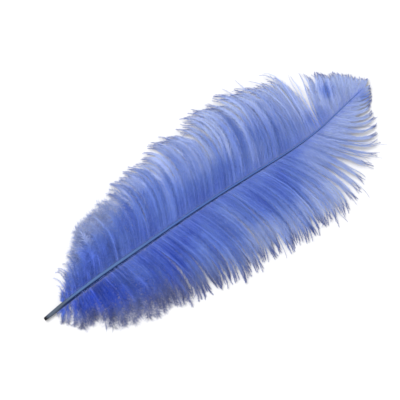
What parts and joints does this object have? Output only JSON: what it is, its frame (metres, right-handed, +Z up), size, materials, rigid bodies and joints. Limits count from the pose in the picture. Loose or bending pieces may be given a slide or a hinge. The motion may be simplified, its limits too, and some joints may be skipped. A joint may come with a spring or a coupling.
{
  "type": "ostrich feather",
  "caption": "Dyed ostrich feather lying flat: a slim grooved shaft with a broad, soft vane of loose barbs along each side, curling at their free tips.",
  "frame": {"origin": "on the surface under the middle of the shaft, where its flat back rests", "axes": "+X along the feather from the cut quill to the tip, +Y towards the left vane seen from above, +Z up, out of the grooved side of the shaft"},
  "size_m": [0.302, 0.1322, 0.0142],
  "materials": {
    "barbs": "soft, matt, dyed periwinkle blue, deeper along the shaft and paler at the tips",
    "shaft": "satin slate blue keratin with a dark line in its groove"
  },
  "bodies": {
    "root": {"feather": "barbs"}
  },
  "joints": []
}
